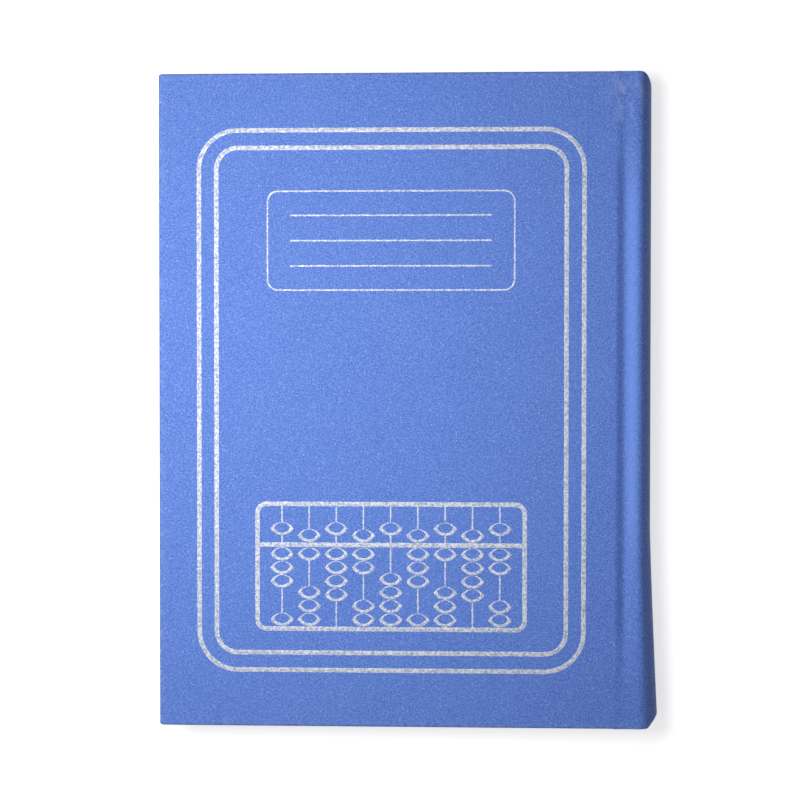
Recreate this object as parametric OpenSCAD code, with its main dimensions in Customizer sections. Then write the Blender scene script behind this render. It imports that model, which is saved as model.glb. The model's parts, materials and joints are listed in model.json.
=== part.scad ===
// Accounting ledger: a sewn book in a hard cloth case, lying on its back cover.
// X runs from the fore edge to the spine, Y from tail to head, Z up through the book.
// The origin is under the middle of the closed book, on the surface that it lies on.

/* [Case] */
// Height of the boards, tail to head
case_h = 220; // [160:1:300]
// Width of each board, fore edge to joint
board_w = 153; // [110:1:220]
// Thickness of each board
board_t = 2.2; // [1.6:0.1:3.4]
// Thickness of the covering cloth
cloth_t = 0.4; // [0.3:0.05:0.6]
// Width of the cloth turned in over the board edges
turn_in = 15; // [8:1:25]
// Width of the cloth joint between board and spine
joint_w = 9; // [8:0.5:14]
// Depth of the groove pressed along the joint
groove_d = 0.8; // [0.4:0.1:1.2]
// Width of the groove, measured from the board edge
groove_w = 6; // [4:0.5:7]
// Gap that the cloth hinges leave at the spine edges
hinge_gap = 0.2; // [0.1:0.05:0.3]

/* [Spine] */
// How far the spine swells past the joints
spine_bulge = 4; // [3:0.5:6]
// Thickness of the card strip inside the spine
strip_t = 0.8; // [0.6:0.1:1.2]
// Thickness of the paper that lines the back of the sections
lining_t = 0.25; // [0.2:0.05:0.4]
// Thickness of the gauze that is glued to the back of the sections
mull_t = 0.3; // [0.2:0.05:0.5]
// Clearance between the gauze and the folds of the sections
back_gap = 0.15; // [0.1:0.05:0.25]
// Slant of the spine ends, along Y
corner_cut = 3; // [1:0.5:5]
// Radius of the head and tail bands
band_r = 0.8; // [0.5:0.1:1]

/* [Sections] */
// Number of sewn sections
section_n = 7; // [5:1:9]
// Thickness of one section of folded sheets
section_t = 1.4; // [1.2:0.1:1.8]
// How far the boards stand past the leaves
square = 3; // [2:0.5:5]
// Radius of the sewing thread
thread_r = 0.2; // [0.15:0.01:0.22]
// Number of sewing stations along the spine
station_n = 6; // [4:1:9]
// Length of one stitch
stitch_l = 12; // [6:1:15]
// Distance of the first and last station from the section ends
kettle_y = 15; // [12:1:25]

/* [Leaves] */
// Number of front leaves that turn one by one
leaf_n = 8; // [4:1:10]
// Thickness of a ruled leaf
leaf_t = 0.12; // [0.1:0.01:0.16]
// Thickness of an endpaper, pasted down or loose
endpaper_t = 0.2; // [0.15:0.01:0.3]
// Border of turned-in cloth that a pasted endpaper leaves bare
paste_border = 4; // [2:0.5:7]
// Distance of the leaf hinges from the spine edge
gutter_w = 6; // [5.5:0.5:8]
// Bare run between a leaf hinge and the stiff part of its leaf
leaf_gap = 2; // [1.5:0.1:3]
// Bare run between a leaf hinge and the guard that holds it
guard_gap = 1; // [0.8:0.1:1.5]

/* [Foil] */
// Thickness of the silver foil
foil_t = 0.06; // [0.04:0.01:0.1]
// Width of a foil rule
rule_w = 1.7; // [1:0.1:2.5]
// Distance of the frame from the head and tail
frame_y = 18; // [12:1:30]
// Distance of the frame from the fore edge
frame_x0 = 12.5; // [8:0.5:25]
// Distance of the frame from the joint
frame_x1 = 9; // [6:0.5:20]
// Outer corner radius of the frame
frame_r = 14; // [8:1:20]
// Clear gap between the two rules of the frame
frame_gap = 4.2; // [3:0.1:6]
// Width of the write-in label
label_w = 84; // [60:1:90]
// Height of the write-in label
label_h = 34; // [26:1:40]
// Distance of the label's middle from the head
label_y = 56; // [50:1:65]
// Corner radius of the label
label_r = 4; // [2:0.5:6]
// Number of writing lines on the label
line_n = 3; // [2:1:4]
// Width of the thin foil lines
line_w = 0.7; // [0.5:0.1:1]
// Width of the abacus
abacus_w = 92; // [70:1:98]
// Height of the abacus
abacus_h = 44; // [38:1:50]
// Distance of the abacus's middle from the tail
abacus_y = 54; // [50:1:60]
// Number of abacus rods
rod_n = 9; // [7:1:11]
// Height of a bead
bead_h = 4.6; // [4:0.1:5]
// Width of a bead
bead_w = 8; // [6:0.1:8.4]

/* [Hidden] */
$fn = 64;
tiny = 0.01;

// Levels, from the table up
stack_t = section_n * section_t + leaf_n * leaf_t;
book_t = 2 * (cloth_t + board_t + 2 * endpaper_t) + stack_t;
block_z0 = cloth_t + board_t + endpaper_t;
block_z1 = book_t - block_z0;
section_z0 = block_z0 + endpaper_t;
leaf_z0 = section_z0 + section_n * section_t;
fly_z1 = block_z1 - endpaper_t;

// Places along X
total_w = cloth_t + board_w + joint_w + spine_bulge;
board_x0 = cloth_t - total_w / 2;
joint_x = board_x0 + board_w;
spine_x = joint_x + joint_w;
leaf_x0 = board_x0 + square;
hinge_x = spine_x - gutter_w;
leaf_x1 = hinge_x - leaf_gap;
guard_x0 = hinge_x + guard_gap;
guard_x1 = spine_x - hinge_gap;

// The spine is an arc through both joints, and its layers share one centre
cloth_h = case_h + 2 * cloth_t;
leaf_h = case_h - 2 * square;
spine_z = book_t / 2;
spine_r = (spine_z * spine_z + spine_bulge * spine_bulge) / (2 * spine_bulge);
spine_cx = spine_x + spine_bulge - spine_r;
strip_r = spine_r - cloth_t;
lining_r = strip_r - strip_t;
mull_r = lining_r - lining_t;
back_r = mull_r - mull_t - back_gap;

// Each section's fold touches the rounded back from inside
fold_r = section_t / 2;
function section_z(i) = section_z0 + (i + 0.5) * section_t;
function fold_x(i) = spine_cx + sqrt(pow(back_r - fold_r, 2) - pow(section_z(i) - spine_z, 2));
section_w = min(fold_x(0), fold_x(section_n - 1)) - leaf_x0;

// A stitch lies in the notch between two folds, clear of both
thread_gap = 0.02;
function notch(i) =
    let (a = [fold_x(i), section_z(i)], b = [fold_x(i + 1), section_z(i + 1)],
         d = norm(b - a), out = sqrt(pow(fold_r + thread_r + thread_gap, 2) - d * d / 4))
    (a + b) / 2 + out * [b[1] - a[1], a[0] - b[0]] / d;
function station_y(s) = (leaf_h / 2 - kettle_y) * (2 * s / (station_n - 1) - 1);

// Foil layout on the front board
frame_w = board_w - frame_x0 - frame_x1;
frame_h = case_h - 2 * frame_y;
foil_x = board_x0 + frame_x0 + frame_w / 2;
rod_pitch = abacus_w / (rod_n + 1);
beam_y = abacus_h / 6;

cloth_colour = "#4a66c8";
paper_colour = "#f3efe2";
board_colour = "#9a8d78";
foil_colour = "#d9dce2";

// A profile in X and Z, carried along Y
module along_y(h) rotate([90, 0, 0]) linear_extrude(h, center = true) children();

// The same piece on the back cover
module back_side() translate([0, 0, book_t]) mirror([0, 0, 1]) children();

// A sheet lying flat, centred on Y
module sheet(x0, x1, z0, w, t) translate([x0, -w / 2, z0]) cube([x1 - x0, w, t]);

// Board with its inner face pressed in where the cloth is turned over its edges
module cover_board() {
    z0 = book_t - cloth_t - board_t;
    difference() {
        sheet(board_x0, joint_x, z0, case_h, board_t);
        difference() {
            sheet(board_x0 - 1, joint_x + 1, z0 - 1, case_h + 2, cloth_t + 1);
            sheet(board_x0 + turn_in, joint_x + 2, z0 - 2, case_h - 2 * turn_in, cloth_t + 4);
        }
    }
}

// Top of the joint cloth: a round groove beside the board, level again at the spine
function groove_z(u) = book_t - groove_d * (0.5 - 0.5 * cos(360 * u));
groove_steps = 16;
groove_top = concat(
    [for (j = [0:groove_steps])
        [joint_x + groove_w * j / groove_steps, groove_z(j / groove_steps)]],
    [[spine_x - hinge_gap, book_t]]);
groove_last = len(groove_top) - 1;

// Cloth over the board, round three edges, and on to the spine edge
module cover_cloth() {
    difference() {
        sheet(board_x0 - cloth_t, joint_x, book_t - cloth_t - board_t, cloth_h, board_t + cloth_t);
        cover_board();
    }
    along_y(cloth_h) polygon(concat(
        [[joint_x - tiny, book_t]], groove_top,
        [for (j = [groove_last:-1:0]) groove_top[j] - [0, cloth_t]],
        [[joint_x - tiny, book_t - cloth_t]]));
}

module pastedown()
    sheet(board_x0 + paste_border, joint_x, block_z1, case_h - 2 * paste_border, endpaper_t);

module flyleaf() sheet(leaf_x0, leaf_x1, fly_z1, leaf_h, endpaper_t);

// Profile of one layer of the spine, from radius r inwards
module spine_layer(r, t, z0, z1) intersection() {
    translate([spine_cx, spine_z]) difference() {
        circle(r);
        circle(r - t);
    }
    translate([spine_x, z0]) square([spine_bulge, z1 - z0]);
}

// Outline of the spine seen from above, with its slanted ends
module spine_plan(h) translate([0, 0, -1]) linear_extrude(book_t + 2) polygon([
    [spine_x, -h / 2],
    [spine_x, h / 2],
    [spine_x + spine_bulge, h / 2 - corner_cut],
    [spine_x + spine_bulge, corner_cut - h / 2]]);

module back_board() color(board_colour) back_side() cover_board();
module back_cover_cloth() color(cloth_colour) back_side() cover_cloth();
module back_pastedown() color(paper_colour) back_side() pastedown();
module back_flyleaf() color(paper_colour) back_side() flyleaf();
module front_board() color(board_colour) cover_board();
module front_cover_cloth() color(cloth_colour) cover_cloth();
module front_pastedown() color(paper_colour) pastedown();
module front_flyleaf() color(paper_colour) flyleaf();

// Guards hold the gutter edges of the loose leaves and endpapers
module back_guard() color(paper_colour)
    sheet(guard_x0, guard_x1, block_z0, leaf_h, endpaper_t);
module front_guard() color(paper_colour)
    sheet(guard_x0, guard_x1, leaf_z0, leaf_h, block_z1 - leaf_z0);

module spine_strip() color(board_colour) intersection() {
    along_y(case_h) spine_layer(strip_r, strip_t, 0, book_t);
    spine_plan(case_h);
}

// Cloth of the spine, turned over the ends of the strip
module spine_cloth() color(cloth_colour) difference() {
    intersection() {
        along_y(cloth_h) spine_layer(spine_r, cloth_t + strip_t, 0, book_t);
        spine_plan(cloth_h);
    }
    intersection() {
        along_y(case_h) spine_layer(strip_r, strip_t + 1, -1, book_t + 1);
        spine_plan(case_h);
    }
}

module spine_lining() color("#b79a6a")
    along_y(leaf_h) spine_layer(lining_r, lining_t, block_z0, block_z1);
module mull() color("#e9e6dc")
    along_y(leaf_h - 2 * kettle_y) spine_layer(mull_r, mull_t, block_z0, block_z1);

// Bands bead the ends of the rounded back
module band(side) {
    r = back_r - band_r;
    a = asin(0.4 * section_n * section_t / r);
    translate([spine_cx, side * (leaf_h / 2 + band_r), spine_z]) rotate([90, 0, 0])
        rotate([0, 0, -a]) rotate_extrude(angle = 2 * a) translate([r, 0]) circle(band_r);
}
module head_band() color("white") band(1);
module tail_band() color("white") band(-1);

module sewing_thread() color("ivory")
    for (s = [0:station_n - 1], i = [0:section_n - 2])
        translate([notch(i)[0], station_y(s), notch(i)[1]]) rotate([90, 0, 0])
            cylinder(r = thread_r, h = stitch_l, center = true);

// One section of folded sheets, with its round fold at the spine
module section(i) color(paper_colour) along_y(leaf_h) {
    translate([fold_x(i) - section_w, section_z(i) - fold_r]) square([section_w, section_t]);
    translate([fold_x(i), section_z(i)]) circle(fold_r);
}

module ledger_leaf(k) color(paper_colour)
    sheet(leaf_x0, leaf_x1, leaf_z0 + (k - 1) * leaf_t, leaf_h, leaf_t);

// Foil figures lie on the front cloth, about a point of the foil layout
module foil(y) color(foil_colour)
    translate([foil_x, y, book_t]) linear_extrude(foil_t) children();

// A rounded rectangle, from squares and corner circles
module rounded(w, h, r) {
    square([w - 2 * r, h], center = true);
    square([w, h - 2 * r], center = true);
    for (x = [-1, 1], y = [-1, 1]) translate([x * (w / 2 - r), y * (h / 2 - r)]) circle(r);
}
module rounded_rule(w, h, r, t) difference() {
    rounded(w, h, r);
    rounded(w - 2 * t, h - 2 * t, r - t);
}

module foil_frame() foil(0) {
    inset = rule_w + frame_gap;
    rounded_rule(frame_w, frame_h, frame_r, rule_w);
    rounded_rule(frame_w - 2 * inset, frame_h - 2 * inset, frame_r - inset, rule_w);
}

module foil_label() foil(case_h / 2 - label_y) {
    rounded_rule(label_w, label_h, label_r, line_w);
    for (j = [1:line_n]) translate([0, label_h * (0.5 - j / (line_n + 1))])
        square([label_w - 4 * label_r, line_w], center = true);
}

// A bead is a lens, where two circles cross
module lens(w, h) intersection() {
    r = (w * w + h * h) / (4 * h);
    middle = r - h / 2;
    translate([0, middle]) circle(r);
    translate([0, -middle]) circle(r);
}

// Heights of the beads on rod j: one above the beam and four below, some pushed up
function bead_rows(j) =
    let (up = (j * 3) % 5, first = beam_y - rule_w / 2 - bead_h / 2,
         low = rule_w - abacus_h / 2 + bead_h / 2)
    concat([beam_y + rule_w / 2 + bead_h / 2 + (j % 2) * bead_h / 2],
        [for (b = [0:3]) b < up ? first - b * bead_h : low + (3 - b) * bead_h]);

module foil_abacus() foil(abacus_y - case_h / 2) {
    rounded_rule(abacus_w, abacus_h, label_r, rule_w);
    translate([0, beam_y]) square([abacus_w - rule_w, rule_w], center = true);
    for (j = [1:rod_n]) translate([j * rod_pitch - abacus_w / 2, 0]) {
        difference() {
            square([line_w, abacus_h - rule_w], center = true);
            for (y = bead_rows(j)) translate([0, y]) lens(bead_w, bead_h);
        }
        for (y = bead_rows(j)) translate([0, y]) difference() {
            lens(bead_w, bead_h);
            translate([0, line_w / 2]) lens(bead_w - 4 * line_w, bead_h - 2 * line_w);
        }
    }
}

back_board();
back_cover_cloth();
back_pastedown();
back_flyleaf();
back_guard();
front_board();
front_cover_cloth();
front_pastedown();
front_flyleaf();
front_guard();
spine_strip();
spine_cloth();
spine_lining();
mull();
head_band();
tail_band();
sewing_thread();
foil_frame();
foil_label();
foil_abacus();
for (i = [1:section_n]) section(i - 1);
for (k = [1:leaf_n]) ledger_leaf(k);
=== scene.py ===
"""Looks of the accounting ledger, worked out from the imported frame. All lengths are in metres."""
import json
import math

import bmesh
import bpy
import numpy as np
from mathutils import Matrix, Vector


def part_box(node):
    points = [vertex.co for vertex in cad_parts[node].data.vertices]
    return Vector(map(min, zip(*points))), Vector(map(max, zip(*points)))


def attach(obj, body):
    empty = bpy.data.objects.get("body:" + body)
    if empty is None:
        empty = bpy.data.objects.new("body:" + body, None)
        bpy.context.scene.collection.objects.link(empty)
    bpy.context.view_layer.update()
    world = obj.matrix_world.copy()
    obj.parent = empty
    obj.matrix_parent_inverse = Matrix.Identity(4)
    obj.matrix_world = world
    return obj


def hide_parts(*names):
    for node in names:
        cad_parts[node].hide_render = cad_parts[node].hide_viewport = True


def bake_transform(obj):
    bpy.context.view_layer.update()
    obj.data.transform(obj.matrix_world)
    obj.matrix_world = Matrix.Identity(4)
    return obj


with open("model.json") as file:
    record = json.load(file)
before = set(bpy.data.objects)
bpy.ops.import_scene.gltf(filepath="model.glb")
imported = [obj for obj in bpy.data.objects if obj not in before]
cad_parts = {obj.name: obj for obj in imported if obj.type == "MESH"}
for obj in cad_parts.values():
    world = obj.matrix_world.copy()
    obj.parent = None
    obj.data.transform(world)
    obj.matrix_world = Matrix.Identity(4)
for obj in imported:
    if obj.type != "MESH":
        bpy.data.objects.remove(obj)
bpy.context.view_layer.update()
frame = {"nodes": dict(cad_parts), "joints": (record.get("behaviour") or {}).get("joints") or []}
nodes = frame["nodes"]
hinges = {j["child"]: j for j in frame["joints"]}
MM = 0.001

# Sizes that the frame gives
board_lo, board_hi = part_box("front_board")
cover_lo, cover_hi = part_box("front_cover_cloth")
paste_lo, paste_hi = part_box("front_pastedown")
foil_lo, foil_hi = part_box("foil_frame")
spine_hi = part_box("spine_cloth")[1]
guard_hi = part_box("front_guard")[1]
BOOK_T = spine_hi.z
FOIL_T = foil_hi.z - foil_lo.z
JOINT_X = board_hi.x
SPINE_X = hinges["front_cover"]["pos_m"][0]
LEAF_HINGE_X = hinges["front_flyleaf"]["pos_m"][0]
CLOTH_T = board_lo.x - cover_lo.x
CASE_END = cover_hi.y
BULGE = spine_hi.x - SPINE_X
SPINE_R = ((BOOK_T / 2) ** 2 + BULGE ** 2) / (2 * BULGE)
SPINE_CX = SPINE_X + BULGE - SPINE_R
LEAVES = sorted(n for n in nodes if n.startswith("ledger_leaf_"))
SECTIONS = sorted(n for n in nodes if n.startswith("section_"))

# Rounding of the covers' edges
EDGE_R = 0.9 * MM
# Groove of the joint: its depth, and where it starts, is deepest and ends, from the board's edge
GROOVE_D = 1.25 * MM
GROOVE_FROM = 0.5 * MM
GROOVE_AT = 3.9 * MM
GROOVE_TO = 8.8 * MM
GROOVE_CURVE = 0.85
# The groove grows shallower by this share, between these shares of the half length
GROOVE_FADE = 0.8
FADE_FROM = 0.6
FADE_TO = 0.92
# Ends of the spine: a curved cut at the head, a straight one at the tail, and a swell near the tail
HEAD_CUT = 4.0 * MM
HEAD_CURVE = 3.6
TAIL_CUT = 3.6 * MM
TAIL_FROM = 0.4
TAIL_FLARE = 2.6 * MM
FLARE_FROM = 0.4
FLARE_REACH = 3.0 * MM
FLARE_CURVE = 1.2
# Spine edge: length of its bend on each side, and the wall of cloth and strip behind it
SHOULDER = 1.1 * MM
SPINE_WALL = 1.23 * MM
# Rounding at head and tail: the share of the wall that each face gives up at most, what the inside of
# the spine gives up, and how far from the fore edge the corners are drawn in
CLOSE_SHARE = 0.45
SPINE_CLOSE = 0.02 * MM
CORNER_REACH = 6.0 * MM
# How far from an edge the cloth is rubbed
RUB_REACH = 1.6 * MM
# Points along each stretch of the case
EDGE_STEPS = 9
BOARD_STEPS = 70
JOINT_STEPS = 40
SHOULDER_STEPS = 14
ARC_STEPS = 26
END_STEPS = 7
# Pasted endpapers: where they leave the board and stop, from the joint and the spine edge, the length
# over which they climb to the joint's cloth, and the gap that they keep from it
PASTE_LEAVES = 1.0 * MM
PASTE_STOP = 1.8 * MM
PASTE_CLIMB = 4.0 * MM
PASTE_GAP = 0.03 * MM
RNG = np.random.default_rng(7)


def quads(rows, cols):
    """Quads of a grid of rows by cols points, whose columns close into a loop."""
    i = np.arange(rows - 1)[:, None] * cols
    j = np.arange(cols)[None, :]
    k = (j + 1) % cols
    return np.stack([i + j, i + cols + j, i + cols + k, i + k], -1).reshape(-1, 4)


def piece(name, points, faces, *materials, smooth_deg=38, **marks):
    """A mesh object at the origin. The attribute "place" keeps each point's place at rest, and marks
    adds one number per point under its own name. With two materials, the second is for level faces."""
    mesh = bpy.data.meshes.new(name)
    mesh.from_pydata(np.asarray(points).tolist(), [], [list(f) for f in faces])
    place = mesh.attributes.new("place", "FLOAT_VECTOR", "POINT")
    place.data.foreach_set("vector", np.asarray(points, np.float32).ravel())
    for mark, values in marks.items():
        per_point = mesh.attributes.new(mark, "FLOAT", "POINT")
        per_point.data.foreach_set("value", np.asarray(values, np.float32))
    work = bmesh.new()
    work.from_mesh(mesh)
    bmesh.ops.remove_doubles(work, verts=work.verts, dist=1e-7)
    bmesh.ops.recalc_face_normals(work, faces=work.faces)
    work.to_mesh(mesh)
    work.free()
    mesh.polygons.foreach_set("use_smooth", np.ones(len(mesh.polygons), bool))
    mesh.set_sharp_from_angle(angle=math.radians(smooth_deg))
    for material in materials:
        mesh.materials.append(material)
    if len(materials) == 2:
        steep = 0.9
        normals = np.empty(3 * len(mesh.polygons))
        mesh.polygons.foreach_get("normal", normals)
        level = np.abs(normals.reshape(-1, 3)[:, 2]) > steep
        mesh.polygons.foreach_set("material_index", level.astype(np.int32))
    made = bpy.data.objects.new(name, mesh)
    bpy.context.scene.collection.objects.link(made)
    return made


def ribbon(outer, inner, ys, inner_ys=None):
    """A slab between two paths in X and Z, carried along Y.

    ys holds one row of Y values per station and one column per path point. The loop of a station is
    the outer path and the inner path reversed, and the first and last stations are capped.
    """
    loop = np.concatenate([outer, inner[:, ::-1]], 1)
    along = np.concatenate([ys, (ys if inner_ys is None else inner_ys)[:, ::-1]], 1)
    stations, count = along.shape
    points = np.stack([loop[..., 0], along, loop[..., 1]], -1).reshape(-1, 3)
    half = count // 2
    a = np.arange(half - 1)
    cap = np.stack([a, a + 1, count - 2 - a, count - 1 - a], -1)
    faces = np.concatenate([quads(stations, count), cap, cap[:, ::-1] + (stations - 1) * count])
    return points, faces


def flat_ribbon(path, thickness, half_y, stations=2):
    """A slab of even thickness hanging below a path, with straight ends."""
    outer = np.repeat(path[None], stations, 0)
    inner = outer - [0, thickness]
    ys = np.linspace(-half_y, half_y, stations)[:, None] * np.ones(len(path))
    return ribbon(outer, inner, ys)


# Node trees of the materials

def new_material(name):
    """A material with a bare Principled shader; gives its tree and that shader."""
    made = bpy.data.materials.new(name)
    made.use_nodes = True
    return made, made.node_tree, made.node_tree.nodes["Principled BSDF"]


def add(tree, kind, inputs=(), **settings):
    """Adds a node, sets its properties, and fills its inputs with values or links."""
    made = tree.nodes.new(kind)
    for key, value in settings.items():
        setattr(made, key, value)
    for key, value in dict(inputs).items():
        if isinstance(value, bpy.types.NodeSocket):
            tree.links.new(value, made.inputs[key])
        else:
            made.inputs[key].default_value = value
    return made


def places(tree, own):
    """Where a pattern is read: the rest place of a new piece, or the object's own coordinates."""
    if own:
        return add(tree, "ShaderNodeAttribute", attribute_name="place").outputs["Vector"]
    return add(tree, "ShaderNodeTexCoord").outputs["Object"]


def noise(tree, at, scale, detail=2.0, rough=0.5):
    made = add(tree, "ShaderNodeTexNoise", {"Vector": at, "Scale": scale,
                                            "Detail": detail, "Roughness": rough})
    return made.outputs["Fac"]


def ramp(tree, fac, low, high, to_low=0.0, to_high=1.0):
    made = add(tree, "ShaderNodeMapRange", {"Value": fac, "From Min": low, "From Max": high,
                                            "To Min": to_low, "To Max": to_high}, clamp=True)
    return made.outputs["Result"]


def maths(tree, kind, a, b=0.0, c=0.0):
    return add(tree, "ShaderNodeMath", {0: a, 1: b, 2: c}, operation=kind).outputs[0]


def mixed(tree, fac, a, b, blend="MIX"):
    """Mix of two colours, given as links or as red, green, blue."""
    made = add(tree, "ShaderNodeMix", {"Factor": fac}, data_type="RGBA", blend_type=blend)
    for socket, value in ((made.inputs[6], a), (made.inputs[7], b)):
        if isinstance(value, bpy.types.NodeSocket):
            tree.links.new(value, socket)
        else:
            socket.default_value = (*value, 1.0)
    return made.outputs[2]


def bump(tree, shader, height, distance, strength=1.0):
    made = add(tree, "ShaderNodeBump", {"Height": height, "Distance": distance, "Strength": strength})
    tree.links.new(made.outputs["Normal"], shader.inputs["Normal"])


# Colours, and the scales of noise in turns per metre
CLOTH_BLUE = (0.112, 0.222, 0.690)
CLOTH_PALE = (0.195, 0.345, 0.880)
CLOTH_DEEP = (0.054, 0.112, 0.445)
# Colour of the painted glint specks on the grain, also the tint of the cloth's specular
CLOTH_GLINT = (0.480, 0.650, 0.960)
CLOTH_RUBBED = (0.500, 0.600, 0.930)
SCUFF_AT = (73.5 * MM, 101.0 * MM, BOOK_T)
SCUFF_REACH = 9.0 * MM
SCUFF_SLANT = (0.0, 0.0, 0.5)
SCUFF_STRETCH = (1.0, 0.45, 1.0)
SCUFF_SCALE = 330.0
PEBBLE_SCALE = 1900.0
FINE_SCALE = 4800.0
FINE_SHARE = 0.45
GRAIN_SHARE = 0.66
GRAIN_DEPTH = 0.08 * MM
GRAIN_STRENGTH = 0.9
GLINT_SCALE = 2600.0
MOTTLE_SCALE = 55.0
RUB_SCALE = 420.0
CLOTH_GLOSS = 0.27
# Painted highlight along the ridge beside the groove: where it runs across and along, its half width, the
# half length at full strength and in all, and its strength
RIDGE_X = 76.3 * MM
RIDGE_Y = 13.0 * MM
RIDGE_W = 3.2 * MM
RIDGE_FULL = 50.0 * MM
RIDGE_REACH = 75.0 * MM
RIDGE_HIGHLIGHT = 0.6
FOIL_SILVER = (0.56, 0.57, 0.59)
FOIL_DULL = (0.24, 0.28, 0.38)
# Colour of the painted highlight just inside the foil's rims
FOIL_RIM_HIGHLIGHT = (0.76, 0.77, 0.78)
FOIL_RIM_W = 0.38 * MM
FOIL_RAGGED = 0.28 * MM
FOIL_RIM_IN = 0.15 * MM
FOIL_FADE = (-0.02 * MM, 0.05 * MM)
RAGGED_SCALE = 1700.0
HOLE_SCALE = 1300.0
HOLE_SHARE = 0.8
PATCH_SCALE = 1000.0
FOIL_METAL = 0.6
PAPER_CREAM = (0.860, 0.840, 0.760)
PAPER_WHITE = (0.870, 0.865, 0.820)
CLOUD_SCALE = 260.0
TOOTH_SCALE = 5200.0
TOOTH_DEPTH = 0.01 * MM


def cloth_grain(tree, at):
    """Height of the pressed grain: small soft pebbles broken up by finer grain."""
    pebbles = noise(tree, at, PEBBLE_SCALE, 1.0)
    fine = noise(tree, at, FINE_SCALE, 1.0)
    return maths(tree, "MULTIPLY_ADD", fine, FINE_SHARE, pebbles)


def cloth_colour(tree, at, grain):
    """Blue with the grain's light and dark, a few bright specks of painted glint, and faint mottling."""
    colour = mixed(tree, ramp(tree, grain, 0.50, 0.95), CLOTH_DEEP, CLOTH_PALE)
    colour = mixed(tree, GRAIN_SHARE, CLOTH_BLUE, colour)
    # Painted glints: pale specks standing in for the light that catches the grain
    glint = ramp(tree, noise(tree, at, GLINT_SCALE, 0.0), 0.70, 0.80, 0.0, 0.5)
    colour = mixed(tree, glint, colour, CLOTH_GLINT)
    mottle = ramp(tree, noise(tree, at, MOTTLE_SCALE, 4.0, 0.6), 0.35, 0.7, 0.0, 0.10)
    return mixed(tree, mottle, colour, CLOTH_PALE)


def book_cloth():
    """Blue book cloth with a pressed grain, rubbed edges, a painted highlight on the ridge beside the
    groove, and pale scuffs at the joint's head.
    """
    made, tree, shader = new_material("book_cloth")
    at = places(tree, True)
    grain = cloth_grain(tree, at)
    colour = cloth_colour(tree, at, grain)
    edge = add(tree, "ShaderNodeAttribute", attribute_name="edge").outputs["Fac"]
    rubbed = ramp(tree, noise(tree, at, RUB_SCALE, 4.0, 0.7), 0.45, 0.75, 0.0, 0.55)
    colour = mixed(tree, maths(tree, "MULTIPLY", edge, rubbed), colour, CLOTH_RUBBED)
    away = add(tree, "ShaderNodeVectorMath", {0: at, 1: SCUFF_AT}, operation="DISTANCE").outputs["Value"]
    near = ramp(tree, away, SCUFF_REACH, 0.0)
    slanted = add(tree, "ShaderNodeMapping", {"Vector": at, "Rotation": SCUFF_SLANT,
                                              "Scale": SCUFF_STRETCH})
    scuff = noise(tree, slanted.outputs["Vector"], SCUFF_SCALE, 3.0, 0.6)
    scuff = ramp(tree, scuff, 0.50, 0.68, 0.0, 0.6)
    colour = mixed(tree, maths(tree, "MULTIPLY", near, scuff), colour, CLOTH_RUBBED)
    # Painted highlight: paler cloth along the ridge beside the groove, standing in for the light that the
    # ridge catches
    split = add(tree, "ShaderNodeSeparateXYZ", {"Vector": at}).outputs
    across = maths(tree, "ABSOLUTE", maths(tree, "SUBTRACT", split["X"], RIDGE_X))
    along = maths(tree, "ABSOLUTE", maths(tree, "SUBTRACT", split["Y"], RIDGE_Y))
    across = ramp(tree, across, RIDGE_W, 0.0, 0.0, RIDGE_HIGHLIGHT)
    ridge = maths(tree, "MULTIPLY", across, ramp(tree, along, RIDGE_REACH, RIDGE_FULL))
    colour = mixed(tree, ridge, colour, CLOTH_PALE)
    tree.links.new(colour, shader.inputs["Base Color"])
    tree.links.new(ramp(tree, grain, 0.4, 1.0, 0.62, 0.44), shader.inputs["Roughness"])
    shader.inputs["Specular IOR Level"].default_value = CLOTH_GLOSS
    shader.inputs["Specular Tint"].default_value = (*CLOTH_GLINT, 1.0)
    bump(tree, shader, grain, GRAIN_DEPTH, GRAIN_STRENGTH)
    return made


def silver_foil():
    """Hot-stamped foil: bright metal over the cloth grain, broken by the grain and ragged at its rims, with
    a painted highlight just inside them.

    The attribute "rim" is the distance to the nearest edge; where it is under a noisy limit, cloth shows.
    """
    made, tree, shader = new_material("silver_foil")
    at = places(tree, True)
    grain = cloth_grain(tree, at)
    ragged = ramp(tree, noise(tree, at, RAGGED_SCALE, 3.0, 0.6), 0.35, 0.75, 0.0, FOIL_RAGGED)
    rim = add(tree, "ShaderNodeAttribute", attribute_name="rim").outputs["Fac"]
    past = maths(tree, "SUBTRACT", rim, ragged)
    whole = ramp(tree, past, *FOIL_FADE)
    holes = ramp(tree, noise(tree, at, HOLE_SCALE, 3.0, 0.7), 0.40, 0.34)
    kept = maths(tree, "SUBTRACT", 1.0, maths(tree, "MULTIPLY", holes, HOLE_SHARE))
    foil = maths(tree, "MULTIPLY", whole, kept)
    patches = ramp(tree, noise(tree, at, PATCH_SCALE, 4.0, 0.7), 0.38, 0.60)
    patchy = mixed(tree, patches, FOIL_DULL, FOIL_SILVER)
    # Painted highlight: a paler band just inside each rim, standing in for the light that the pressed edges
    # catch
    patchy = mixed(tree, ramp(tree, rim, FOIL_RIM_W, FOIL_RIM_IN, 0.0, 0.3), patchy, FOIL_RIM_HIGHLIGHT)
    colour = mixed(tree, foil, cloth_colour(tree, at, grain), patchy)
    tree.links.new(colour, shader.inputs["Base Color"])
    tree.links.new(maths(tree, "MULTIPLY", foil, FOIL_METAL), shader.inputs["Metallic"])
    tree.links.new(ramp(tree, grain, 0.45, 1.0, 0.75, 0.45), shader.inputs["Roughness"])
    bump(tree, shader, grain, GRAIN_DEPTH, GRAIN_STRENGTH)
    return made


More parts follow.
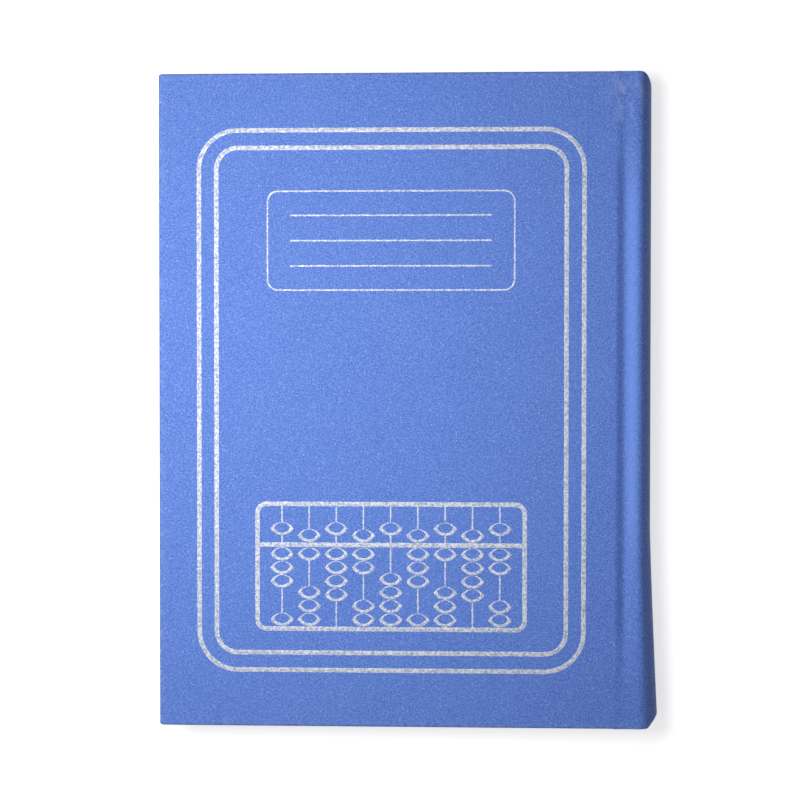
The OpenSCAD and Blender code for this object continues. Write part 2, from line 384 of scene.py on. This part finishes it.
def paper(name, colour, own, shade=0.05):
    """Uncoated paper: faint cloudy fibre tone and a slight tooth."""
    made, tree, shader = new_material(name)
    at = places(tree, own)
    cloud = noise(tree, at, CLOUD_SCALE, 5.0, 0.65)
    tooth = noise(tree, at, TOOTH_SCALE, 2.0)
    darker = tuple(c * (1 - shade) for c in colour)
    tone = mixed(tree, cloud, darker, colour)
    tree.links.new(tone, shader.inputs["Base Color"])
    shader.inputs["Roughness"].default_value = 0.85
    shader.inputs["Specular IOR Level"].default_value = 0.2
    bump(tree, shader, tooth, TOOTH_DEPTH, 0.5)
    return made, tree, shader, tone


# Ruling of the pages, with heights from the middle of the page
RULE_BLUE = (0.28, 0.46, 0.70)
RULE_RED = (0.70, 0.22, 0.22)
LINE_PITCH = 8.0 * MM
LINE_W = 0.22 * MM
HEAD_Y = 84.0 * MM
HEAD_RULES = (HEAD_Y, HEAD_Y + 1.2 * MM)
RULED_FROM = -76.0 * MM
LINES_TO = -92.0 * MM
COLUMNS_TO = -96.0 * MM
COLUMNS_MM = (-68, -52, -24, 8, 34, 52)
LINE_INK = 0.75
RULE_INK = 0.7


def both(tree, a, b):
    """1 where both are 1."""
    return maths(tree, "MULTIPLY", a, b)


def ruled_paper():
    """Ledger ruling: blue writing lines below a double red head rule, and ruled columns."""
    made, tree, shader, tone = paper("ruled_paper", PAPER_WHITE, True)
    split = add(tree, "ShaderNodeSeparateXYZ", {"Vector": places(tree, True)})
    x, y = split.outputs["X"], split.outputs["Y"]
    step = maths(tree, "FRACT", maths(tree, "DIVIDE", y, LINE_PITCH))
    lines = maths(tree, "LESS_THAN", step, LINE_W / LINE_PITCH)
    past_edge = maths(tree, "GREATER_THAN", x, RULED_FROM)
    below = maths(tree, "LESS_THAN", y, HEAD_Y)
    inside = both(tree, maths(tree, "GREATER_THAN", y, LINES_TO), past_edge)
    lines = both(tree, both(tree, lines, below), inside)
    tone = mixed(tree, maths(tree, "MULTIPLY", lines, LINE_INK), tone, RULE_BLUE)
    rules = [maths(tree, "COMPARE", y, level, LINE_W) for level in HEAD_RULES]
    rules += [maths(tree, "COMPARE", x, column * MM, LINE_W / 2) for column in COLUMNS_MM]
    red = rules[0]
    for rule in rules[1:]:
        red = maths(tree, "MAXIMUM", red, rule)
    red = both(tree, red, both(tree, maths(tree, "GREATER_THAN", y, COLUMNS_TO), past_edge))
    tone = mixed(tree, maths(tree, "MULTIPLY", red, RULE_INK), tone, RULE_RED)
    tree.links.new(tone, shader.inputs["Base Color"])
    return made


# Streaks of the page edges, flecks of the boards, and fibres of the lining paper
STREAK_STRETCH = (0.0, 0.02, 1.0)
STREAK_SCALE = 9000.0
STREAK_DARK = 0.72
BOARD_DARK = (0.22, 0.19, 0.15)
BOARD_PALE = (0.52, 0.47, 0.39)
FLECK_SCALE = 1400.0
KRAFT_DARK = (0.32, 0.21, 0.11)
KRAFT_PALE = (0.60, 0.45, 0.28)
FIBRE_SCALE = 3000.0
FIBRE_STRETCH = (1.0, 0.15, 1.0)
WEAVE_DARK = 0.6


def section_paper():
    """Edges of the sewn sheets: cream paper, a little grubby, each sheet its own tone."""
    made, tree, shader, tone = paper("section_paper", PAPER_CREAM, True, 0.10)
    stretch = add(tree, "ShaderNodeMapping", {"Vector": places(tree, True), "Scale": STREAK_STRETCH})
    streak = noise(tree, stretch.outputs["Vector"], STREAK_SCALE, 2.0, 0.7)
    dark = tuple(c * STREAK_DARK for c in PAPER_CREAM)
    tone = mixed(tree, ramp(tree, streak, 0.62, 0.40, 0.0, 0.75), tone, dark)
    tree.links.new(tone, shader.inputs["Base Color"])
    return made


def greyboard():
    """Pulp board: grey-brown with dark and pale flecks."""
    made, tree, shader = new_material("greyboard")
    at = places(tree, False)
    fleck = noise(tree, at, FLECK_SCALE, 4.0, 0.7)
    colour = mixed(tree, fleck, BOARD_DARK, BOARD_PALE)
    tree.links.new(colour, shader.inputs["Base Color"])
    shader.inputs["Roughness"].default_value = 0.9
    bump(tree, shader, fleck, 0.05 * MM, 0.6)
    return made


def kraft_paper():
    """Brown lining paper with fibres along the spine."""
    made, tree, shader = new_material("kraft_paper")
    at = add(tree, "ShaderNodeMapping", {"Vector": places(tree, False), "Scale": FIBRE_STRETCH})
    fibre = noise(tree, at.outputs["Vector"], FIBRE_SCALE, 4.0, 0.7)
    colour = mixed(tree, fibre, KRAFT_DARK, KRAFT_PALE)
    tree.links.new(colour, shader.inputs["Base Color"])
    shader.inputs["Roughness"].default_value = 0.8
    bump(tree, shader, fibre, 0.02 * MM, 0.5)
    return made


def woven(name, colour, pitch, depth):
    """Plain weave: threads along Y and across it, from two crossed waves."""
    made, tree, shader = new_material(name)
    split = add(tree, "ShaderNodeSeparateXYZ", {"Vector": places(tree, False)})
    turn = 2 * math.pi / pitch
    warp = maths(tree, "SINE", maths(tree, "MULTIPLY", split.outputs["Y"], turn))
    weft = maths(tree, "SINE", maths(tree, "MULTIPLY", split.outputs["Z"], turn))
    height = maths(tree, "MULTIPLY", warp, weft)
    shade = ramp(tree, height, -1.0, 1.0)
    dark = tuple(c * WEAVE_DARK for c in colour)
    tree.links.new(mixed(tree, shade, dark, colour), shader.inputs["Base Color"])
    shader.inputs["Roughness"].default_value = 0.85
    bump(tree, shader, height, depth, 0.8)
    return made


# Angle of the bands' waves per metre; one turn of thread takes half a wave
BAND_WAVE = 2100.0
BAND_WHITE = (0.80, 0.80, 0.82)


def band_cloth():
    """Head band: white and blue threads wound over a core, each turn one stripe."""
    made, tree, shader = new_material("band_cloth")
    split = add(tree, "ShaderNodeSeparateXYZ", {"Vector": places(tree, True)})
    wave = maths(tree, "SINE", maths(tree, "MULTIPLY", split.outputs["Z"], 2 * BAND_WAVE))
    stripe = maths(tree, "GREATER_THAN", wave, 0.0)
    colour = mixed(tree, stripe, BAND_WHITE, CLOTH_DEEP)
    tree.links.new(colour, shader.inputs["Base Color"])
    shader.inputs["Roughness"].default_value = 0.6
    shader.inputs["Sheen Weight"].default_value = 0.3
    return made


# The camera of the photograph, looking almost straight down

CAMERA_AT = (27.51 * MM, 14.39 * MM, 652.25 * MM)
CAMERA_TURN_DEG = (-1.264, 2.608, 0.028)
LENS_MM = 85.0

# Light: a soft lamp on the left, and a world that is brighter overhead and on the left
KEY_AT = (-0.11, 0.04, 0.28)
KEY_AIM = (-0.02, 0.0, 0.0)
KEY_SIZE = 0.20
KEY_WATTS = 0.83
WORLD_STRENGTH = 0.20
WORLD_LOW = 0.75
WORLD_LEFT = 1.6
WORLD_RIGHT = 0.4
WORLD_TURN = 0.9
FLOOR_REACH = 3.0
FLOOR_LIFT = 0.65
FLOOR_WHITE = (0.93, 0.93, 0.93)
FLOOR_BOUNCE = (0.45, 0.45, 0.45)


def photo_camera():
    made = bpy.data.cameras.new("camera")
    made.lens = LENS_MM
    made.sensor_width = 36.0
    made.clip_start = 0.01
    made.clip_end = 20.0
    at = bpy.data.objects.new("camera", made)
    at.location = CAMERA_AT
    at.rotation_euler = [math.radians(a) for a in CAMERA_TURN_DEG]
    bpy.context.scene.collection.objects.link(at)
    bpy.context.scene.camera = at


def area_lamp(name, place, aim, size, watts):
    made = bpy.data.lights.new(name, "AREA")
    made.size = size
    made.energy = watts
    at = bpy.data.objects.new(name, made)
    at.location = place
    direction = np.asarray(aim, float) - np.asarray(place, float)
    tilt = -math.atan2(math.hypot(*direction[:2]), -direction[2])
    at.rotation_euler = [0.0, tilt, math.atan2(direction[1], direction[0])]
    at.visible_camera = False
    bpy.context.scene.collection.objects.link(at)


def seen_rays(tree):
    """1 for rays that show the background: straight to the camera, or by a reflection or through glass."""
    rays = add(tree, "ShaderNodeLightPath").outputs
    seen = maths(tree, "MAXIMUM", rays["Is Camera Ray"], rays["Is Glossy Ray"])
    return maths(tree, "MAXIMUM", seen, rays["Is Transmission Ray"])


def studio():
    """White world, a large soft lamp on the left and a pale floor."""
    world = bpy.data.worlds.new("world")
    bpy.context.scene.world = world
    world.use_nodes = True
    tree = world.node_tree
    back = tree.nodes["Background"]
    back.inputs["Color"].default_value = (1.0, 1.0, 1.0, 1.0)
    sky = add(tree, "ShaderNodeTexCoord").outputs["Generated"]
    sky = add(tree, "ShaderNodeSeparateXYZ", {"Vector": sky}).outputs
    level = ramp(tree, sky["Z"], 0.0, WORLD_TURN, WORLD_LOW, 1.0)
    side = ramp(tree, sky["X"], -WORLD_TURN, WORLD_TURN, WORLD_LEFT, WORLD_RIGHT)
    level = maths(tree, "MULTIPLY", maths(tree, "MULTIPLY", level, side), WORLD_STRENGTH)
    level = maths(tree, "MAXIMUM", level, seen_rays(tree))
    tree.links.new(level, back.inputs["Strength"])
    area_lamp("key", KEY_AT, KEY_AIM, KEY_SIZE, KEY_WATTS)
    floor, tree, shader = new_material("floor")
    shader.inputs["Roughness"].default_value = 0.9
    shader.inputs["Specular IOR Level"].default_value = 0.0
    shader.inputs["Emission Color"].default_value = (1.0, 1.0, 1.0, 1.0)
    seen = seen_rays(tree)
    tree.links.new(maths(tree, "MULTIPLY", seen, FLOOR_LIFT), shader.inputs["Emission Strength"])
    tree.links.new(mixed(tree, seen, FLOOR_BOUNCE, FLOOR_WHITE), shader.inputs["Base Color"])
    mesh = bpy.data.meshes.new("floor")
    corners = [(FLOOR_REACH * x, FLOOR_REACH * y, 0) for x, y in ((-1, -1), (1, -1), (1, 1), (-1, 1))]
    mesh.from_pydata(corners, [], [(0, 1, 2, 3)])
    mesh.materials.append(floor)
    made = bpy.data.objects.new("floor", mesh)
    bpy.context.scene.collection.objects.link(made)
    bpy.context.scene.view_settings.view_transform = "Standard"


# The case: cloth over each board, across its joint and half way round the spine

def joint_height(x):
    """Top of the joint cloth: a steep cosine fall beside the board, then a slow rise to the spine edge."""
    u = x - JOINT_X
    fall = np.clip((u - GROOVE_FROM) / (GROOVE_AT - GROOVE_FROM), 0, 1)
    rise = np.clip((u - GROOVE_AT) / (GROOVE_TO - GROOVE_AT), 0, 1)
    down = 0.5 - 0.5 * np.cos(np.pi * fall)
    back_up = 0.5 + 0.5 * np.cos(np.pi * rise ** GROOVE_CURVE)
    return BOOK_T - GROOVE_D * down * back_up


def case_paths():
    """Outer and inner paths of the case's front half, from the fore edge to the middle of the spine."""
    turn = np.linspace(0, np.pi / 2, EDGE_STEPS)
    low, top = board_lo.z, BOOK_T
    mid = (low + top) / 2
    edge_x = cover_lo.x + EDGE_R * (1 - np.cos(turn))
    edge_z = EDGE_R * (1 - np.sin(turn))
    edge_out = np.stack([edge_x, top - edge_z], 1)
    edge_in = np.stack([edge_x, low + edge_z], 1)
    start = np.array([[cover_lo.x, mid]])
    board_x = np.linspace(cover_lo.x + EDGE_R, JOINT_X, BOARD_STEPS)[1:]
    board_out = np.stack([board_x, np.full_like(board_x, top)], 1)
    board_in = np.stack([board_x, np.full_like(board_x, low)], 1)
    rise = math.asin(BOOK_T / 2 / SPINE_R)
    centre = np.array([SPINE_CX, BOOK_T / 2])
    joint_x = np.linspace(JOINT_X, SPINE_X - SHOULDER, JOINT_STEPS)[1:]
    joint = np.stack([joint_x, joint_height(joint_x)], 1)
    angle = np.linspace(rise - SHOULDER / SPINE_R, 0, ARC_STEPS)
    arc = centre + SPINE_R * np.stack([np.cos(angle), np.sin(angle)], 1)
    t = np.linspace(0, 1, SHOULDER_STEPS)[1:-1, None]
    corner = np.array([[SPINE_X, BOOK_T]])
    shoulder = (1 - t) ** 2 * joint[-1] + 2 * t * (1 - t) * corner + t ** 2 * arc[0]
    wrap = np.concatenate([joint, shoulder, arc])
    ahead = np.gradient(wrap, axis=0)
    ahead /= np.linalg.norm(ahead, axis=1)[:, None]
    inward = np.stack([ahead[:, 1], -ahead[:, 0]], 1)
    inward[-1] = (-1, 0)
    past = np.clip((wrap[:, 0] - SPINE_X) / SHOULDER + 1, 0, 1)
    wall = CLOTH_T + (SPINE_WALL - CLOTH_T) * past
    outer = np.concatenate([start, edge_out, board_out, wrap])
    inner = np.concatenate([start, edge_in, board_in, wrap + wall[:, None] * inward])
    return outer, inner


def end_stations(count=60):
    """Shares of the half length, close together at both ends where the edges are round."""
    near = 1 - EDGE_R / CASE_END * (1 - np.cos(np.linspace(0, np.pi / 2, END_STEPS)))
    inner = np.linspace(near[-1], 0, count)[1:]
    half = np.concatenate([near, inner])
    return np.concatenate([-half, half[::-1][1:]])


def spine_reach(x, share):
    """Half length of the cloth at each x: full over the boards and cut in over the swell of the spine,
    on a curve at the head and on a straight slant at the tail."""
    swell = np.clip((x - SPINE_X) / BULGE, 0, 1)
    head = CASE_END - HEAD_CUT * swell ** HEAD_CURVE
    tail = CASE_END - TAIL_CUT * np.clip((swell - TAIL_FROM) / (1 - TAIL_FROM), 0, 1)
    return np.where(share[:, None] > 0, head[None], tail[None])


def case_half(name, side):
    """Cloth of one cover. Near head and tail both paths close in along a quarter circle, which rounds
    the edges; the spine ends slant in as the arc swells."""
    outer, inner = case_paths()
    share = end_stations()
    reach = spine_reach(outer[:, 0], share)
    ys = share[:, None] * reach
    inner_ys = share[:, None] * spine_reach(inner[:, 0], share)
    from_end = np.clip(EDGE_R - CASE_END * (1 - np.abs(share)), 0, EDGE_R)
    close = EDGE_R - np.sqrt(EDGE_R ** 2 - from_end ** 2)
    gap = inner - outer
    thick = np.linalg.norm(gap, axis=1)
    fade = np.clip((np.abs(share) - FADE_FROM) / (FADE_TO - FADE_FROM), 0, 1)
    fade = GROOVE_FADE * fade * fade * (3 - 2 * fade)
    lift = (BOOK_T - joint_height(outer[:, 0]))[None] * fade[:, None]
    limit = np.minimum(close[:, None], CLOSE_SHARE * thick[None])
    push = gap / np.maximum(thick, 1e-9)[:, None]
    out_grid = outer[None] + limit[..., None] * push
    in_limit = np.where(outer[:, 0] > SPINE_X, np.minimum(limit, SPINE_CLOSE), limit)
    in_grid = inner[None] - in_limit[..., None] * push
    fore = np.clip(1 - (outer[:, 0] - cover_lo.x) / CORNER_REACH, 0, 1)
    shift = close[:, None] * fore[None]
    out_grid[..., 0] += shift
    in_grid[..., 0] += shift
    beside = outer[:, 0] > JOINT_X + 1e-6
    out_grid[..., 1] += lift * beside
    in_grid[..., 1] += lift * beside
    late = np.clip((-share - FLARE_FROM) / (1 - FLARE_FROM), 0, 1) ** FLARE_CURVE
    out = np.clip((outer[:, 0] - SPINE_X + FLARE_REACH) / (BULGE + FLARE_REACH), 0, 1)
    out_grid[..., 0] += TAIL_FLARE * late[:, None] * out[None]
    points, faces = ribbon(out_grid, in_grid, ys, inner_ys)
    if side < 0:
        points[:, 2] = BOOK_T - points[:, 2]
    to_fore = (outer[:, 0] - cover_lo.x) / RUB_REACH
    to_end = (reach - np.abs(ys)) / RUB_REACH
    edge = np.clip(1 - np.minimum(to_fore[None], to_end), 0, 1)
    return piece(name, points, faces, CLOTH, edge=np.concatenate([edge, edge[:, ::-1]], 1).ravel())


def joint_blend(made):
    """Cloth or paper that crosses a cover's hinge; its transform is baked into its points."""
    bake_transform(made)


def pastedown(name, side):
    """Endpaper pasted to the board, which then follows the joint up to the spine edge."""
    board_x = np.linspace(paste_lo.x, JOINT_X - PASTE_LEAVES, JOINT_STEPS)
    joint_x = np.linspace(JOINT_X - PASTE_LEAVES, SPINE_X - PASTE_STOP, JOINT_STEPS)[1:]
    climb = np.clip((joint_x - joint_x[0]) / PASTE_CLIMB, 0, 1)
    climb = climb * climb * (3 - 2 * climb)
    under = joint_height(joint_x) - CLOTH_T - PASTE_GAP
    z = np.concatenate([np.full_like(board_x, paste_hi.z), paste_hi.z + climb * (under - paste_hi.z)])
    path = np.stack([np.concatenate([board_x, joint_x]), z], 1)
    points, faces = flat_ribbon(path, paste_hi.z - paste_lo.z, paste_hi.y)
    if side < 0:
        points[:, 2] = BOOK_T - points[:, 2]
    return piece(name, points, faces, ENDPAPER)


# The foil print: strokes between two curves, a hair proud of the cloth

RULE_W = 1.7 * MM
FRAME_GAP = 4.2 * MM
FRAME_R = 14.0 * MM
LABEL_R = 4.0 * MM
FINE_W = 0.7 * MM
LABEL_LINES = 3
RODS = 9
BEAD_W = 8.0 * MM
BEAD_H = 4.6 * MM
# Shortest piece of rod that is drawn, and how far rods lie under the beads, in foil thicknesses
ROD_MIN = 0.1 * MM
ROD_DROP = 0.1
# Across a stroke: shares of its width, and the height there in foil thicknesses
ACROSS = np.array([0.0, 0.0, 0.2, 0.5, 0.8, 1.0, 1.0])
LIFT = np.array([-0.4, 0.4, 0.9, 1.0, 0.9, 0.4, -0.4])


def rounded(w, h, r):
    """A rounded rectangle about the origin: quarter circles joined by straight sides."""
    turn = np.linspace(0, np.pi / 2, 20)
    quarter = np.stack([np.cos(turn), np.sin(turn)], 1) * r
    corners = np.array([(1, 1), (-1, 1), (-1, -1), (1, -1)]) * (w / 2 - r, h / 2 - r)
    spin = np.array([[0.0, 1.0], [-1.0, 0.0]])
    turned = [quarter @ np.linalg.matrix_power(spin, k) for k in range(4)]
    return np.concatenate([arc + corner for arc, corner in zip(turned, corners)])


def lens(w, h):
    """A lens about the origin: two arcs that meet at its left and right ends."""
    r = (w * w + h * h) / (4 * h)
    half = math.asin(w / 2 / r)
    turn = np.linspace(half, -half, 16)[:-1]
    upper = np.stack([r * np.sin(turn), r * np.cos(turn) - r + h / 2], 1)
    return np.concatenate([upper, -upper])


def stroke(outer, inner, closed, drop=0.0):
    """Foil between two curves of equal count: points, faces and each point's distance to the rim.

    Point (i, j) is outer_i + s_j (inner_i - outer_i), raised by lift_j of the foil's thickness.
    """
    rows, cols = len(outer), len(ACROSS)
    flat = outer[:, None] + ACROSS[None, :, None] * (inner - outer)[:, None]
    height = np.broadcast_to(BOOK_T + FOIL_T * LIFT - drop, (rows, cols))
    points = np.concatenate([flat, height[..., None]], -1).reshape(-1, 3)
    width = np.linalg.norm(inner - outer, axis=1)
    rim = (np.minimum(ACROSS, 1 - ACROSS)[None] * width[:, None]).ravel()
    if closed:
        i = np.arange(rows)[:, None]
        j = np.arange(cols)[None]
        i2, j2 = (i + 1) % rows, (j + 1) % cols
        faces = np.stack([i * cols + j, i2 * cols + j, i2 * cols + j2, i * cols + j2], -1).reshape(-1, 4)
        return points, list(faces), rim
    caps = [range(cols), range((rows - 1) * cols, rows * cols)]
    return points, [*quads(rows, cols), *caps], rim


def rounded_rule(w, h, r, t):
    return stroke(rounded(w, h, r), rounded(w - 2 * t, h - 2 * t, r - t), True)


def line(a, b, w, drop=0.0):
    """A straight foil line from a to b."""
    a, b = np.asarray(a), np.asarray(b)
    side = np.array([a[1] - b[1], b[0] - a[0]]) / np.linalg.norm(b - a) * w / 2
    ends = np.stack([a, b])
    return stroke(ends + side, ends - side, False, drop)


def moved(part, x, y):
    points, faces, rim = part
    return points + (x, y, 0), faces, rim


def frame_strokes(w, h):
    inset = RULE_W + FRAME_GAP
    return [rounded_rule(w, h, FRAME_R, RULE_W),
            rounded_rule(w - 2 * inset, h - 2 * inset, FRAME_R - inset, RULE_W)]


def label_strokes(w, h):
    reach = w / 2 - 2 * LABEL_R
    levels = [h * (0.5 - (k + 1) / (LABEL_LINES + 1)) for k in range(LABEL_LINES)]
    return [rounded_rule(w, h, LABEL_R, FINE_W), *[line((reach, y), (-reach, y), FINE_W) for y in levels]]


def bead_levels(rod, h, beam):
    """Heights of a rod's beads: one above the beam and four below it, some pushed up."""
    up = rod * 3 % 5
    first = beam - RULE_W / 2 - BEAD_H / 2
    low = RULE_W - h / 2 + BEAD_H / 2
    above = beam + RULE_W / 2 + BEAD_H / 2 + rod % 2 * BEAD_H / 2
    return [above, *[first - b * BEAD_H if b < up else low + (3 - b) * BEAD_H for b in range(4)]]


def abacus_strokes(w, h):
    """A framed abacus: the beam, and on each rod its beads with the rod showing between them."""
    beam = h / 6
    parts = [rounded_rule(w, h, LABEL_R, RULE_W),
             line((w / 2 - RULE_W, beam), (RULE_W - w / 2, beam), RULE_W)]
    hollow = lens(BEAD_W - 4 * FINE_W, BEAD_H - 2 * FINE_W) + (0, FINE_W / 2)
    bead = stroke(lens(BEAD_W, BEAD_H), hollow, True)
    for rod in range(1, RODS + 1):
        x = rod * w / (RODS + 1) - w / 2
        levels = bead_levels(rod, h, beam)
        parts += [moved(bead, x, y) for y in levels]
        stops = [RULE_W / 2 - h / 2, h / 2 - RULE_W / 2]
        stops += [y + e for y in levels for e in (-BEAD_H / 2, BEAD_H / 2)]
        stops.sort()
        spans = [(a, b) for a, b in zip(stops[::2], stops[1::2]) if b - a > ROD_MIN]
        parts += [line((x, b), (x, a), FINE_W, ROD_DROP * FOIL_T) for a, b in spans]
    return parts


def foil_print(name, node, strokes):
    """Joins the strokes of one figure at the place of its node."""
    low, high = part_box(node)
    parts = strokes(high.x - low.x, high.y - low.y)
    starts = np.cumsum([0, *[len(p[0]) for p in parts]])
    points = np.concatenate([p[0] for p in parts]) + ((low.x + high.x) / 2, (low.y + high.y) / 2, 0)
    faces = [np.asarray(f) + k for p, k in zip(parts, starts) for f in p[1]]
    made = piece(name, points, faces, FOIL, rim=np.concatenate([p[2] for p in parts]))
    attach(made, "front_cover")
    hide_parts(node)


# The leaves: how far a turning leaf bends, and the share of its room that each sheet fills

LEAF_BEND = 20.0 * MM
LEAF_FILL = 0.94
SHEETS_PER_SECTION = 7
SHEET_FILL = 0.9
# The most that a sheet is trimmed short, at the fore edge and at head and tail
FORE_TRIM_MM = 0.22
END_TRIM_MM = 0.15
# Bands: room kept at their ends, and the share of the radius that the thread's turns take
BAND_ROOM = 0.2 * MM
BAND_SWELL = 0.10


def turning_sheet(name, node, material):
    """One loose sheet, flat, from the fore edge past its hinge to the glued gutter, with its points closer
    together where it would bend as it turns.
    """
    low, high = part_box(node)
    stiff = np.linspace(low.x, LEAF_HINGE_X - LEAF_BEND, 24)
    bend = np.linspace(LEAF_HINGE_X - LEAF_BEND, guard_hi.x, 50)[1:]
    x = np.concatenate([stiff, bend])
    path = np.stack([x, np.full_like(x, high.z)], 1)
    points, faces = flat_ribbon(path, LEAF_FILL * (high.z - low.z), high.y)
    made = piece(name, points, faces, material)
    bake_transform(made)
    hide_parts(node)
    return made


def folded_sheet(low, high, radius, thickness, shift):
    """Profile of one folded sheet: a leaf, the half circle of its fold, and the other leaf."""
    middle = (low.z + high.z) / 2
    fold_x = high.x - (high.z - low.z) / 2
    turn = np.linspace(np.pi / 2, -np.pi / 2, 13)
    fold = np.stack([np.cos(turn), np.sin(turn)], 1)
    centre = np.array([fold_x, middle])
    upper_x, lower_x = low.x + shift

    def around(r):
        arc = centre + r * fold
        return np.concatenate([[[upper_x, middle + r]], arc, [[lower_x, middle - r]]])

    return around(radius + thickness / 2), around(max(radius - thickness / 2, 1e-6))


def section_pages(name, node):
    """A section: folded sheets nested one in another, each trimmed a hair differently."""
    low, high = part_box(node)
    pitch = (high.z - low.z) / (2 * SHEETS_PER_SECTION)
    all_points, all_faces, used = [], [], 0
    for sheet in range(SHEETS_PER_SECTION):
        shift = RNG.uniform(0, FORE_TRIM_MM, 2) * MM
        outer, inner = folded_sheet(low, high, (sheet + 0.5) * pitch, SHEET_FILL * pitch, shift)
        trim = RNG.uniform(0, END_TRIM_MM, 2) * MM
        ys = np.array([low.y + trim[0], high.y - trim[1]])[:, None] * np.ones(len(outer))
        points, faces = ribbon(np.repeat(outer[None], 2, 0), np.repeat(inner[None], 2, 0), ys)
        all_points.append(points)
        all_faces.append(faces + used)
        used += len(points)
    made = piece(name, np.concatenate(all_points), np.concatenate(all_faces), SECTION_PAPER, RULED)
    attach(made, "text_block")
    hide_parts(node)
    return made


def end_band(name, node):
    """A wound band: a tube along the arc of the back, its radius swelling at each turn of thread."""
    low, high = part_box(node)
    radius = (high.y - low.y) / 2
    arc_r = high.x - radius - SPINE_CX
    reach = math.asin(((high.z - low.z) / 2 - BAND_ROOM) / arc_r)
    along = np.linspace(-reach, reach, 120)[:, None]
    around = np.linspace(0, 2 * np.pi, 17)[None, :-1]
    r = radius * (1 - BAND_SWELL + BAND_SWELL * np.abs(np.sin(along * arc_r * BAND_WAVE)))
    x = SPINE_CX + (arc_r + r * np.cos(around)) * np.cos(along)
    z = BOOK_T / 2 + (arc_r + r * np.cos(around)) * np.sin(along)
    y = (low.y + high.y) / 2 + r * np.sin(around)
    points = np.stack([x, y * np.ones_like(x), z], -1)
    count = x.shape[1]
    caps = [range(count), range(x.size - count, x.size)]
    made = piece(name, points.reshape(-1, 3), [*quads(*x.shape), *caps], BAND, smooth_deg=60)
    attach(made, "text_block")
    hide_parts(node)
    return made


def paint(node, material):
    """A CAD node that keeps its shape takes a material."""
    nodes[node].data.materials.clear()
    nodes[node].data.materials.append(material)


photo_camera()
studio()
CLOTH = book_cloth()
FOIL = silver_foil()
ENDPAPER = paper("endpaper", PAPER_WHITE, True)[0]
RULED = ruled_paper()
SECTION_PAPER = section_paper()
GREYBOARD = greyboard()
KRAFT = kraft_paper()
GAUZE = woven("gauze", (0.80, 0.78, 0.70), 0.8 * MM, 0.05 * MM)
THREAD = woven("thread", (0.88, 0.86, 0.78), 0.3 * MM, 0.02 * MM)
BAND = band_cloth()

front_case = case_half("front_case_cloth", 1)
joint_blend(front_case)
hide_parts("front_cover_cloth", "spine_cloth")
back_case = case_half("back_case_cloth", -1)
joint_blend(back_case)
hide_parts("back_cover_cloth")

for side, cover, level in ((1, "front", BOOK_T), (-1, "back", 0)):
    lining = pastedown(f"{cover}_endpaper", side)
    joint_blend(lining)
    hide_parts(f"{cover}_pastedown")
    flyleaf = turning_sheet(f"{cover}_flyleaf_sheet", f"{cover}_flyleaf", ENDPAPER)
    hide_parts(f"{cover}_guard")

for leaf in LEAVES:
    turning_sheet(f"{leaf}_sheet", leaf, RULED)
for section in SECTIONS:
    section_pages(f"{section}_pages", section)
for end in ("head_band", "tail_band"):
    end_band(f"{end}_wound", end)

foil_print("frame_print", "foil_frame", frame_strokes)
foil_print("label_print", "foil_label", label_strokes)
foil_print("abacus_print", "foil_abacus", abacus_strokes)
for node in ("front_board", "back_board", "spine_strip"):
    paint(node, GREYBOARD)
paint("spine_lining", KRAFT)
paint("mull", GAUZE)
paint("sewing_thread", THREAD)
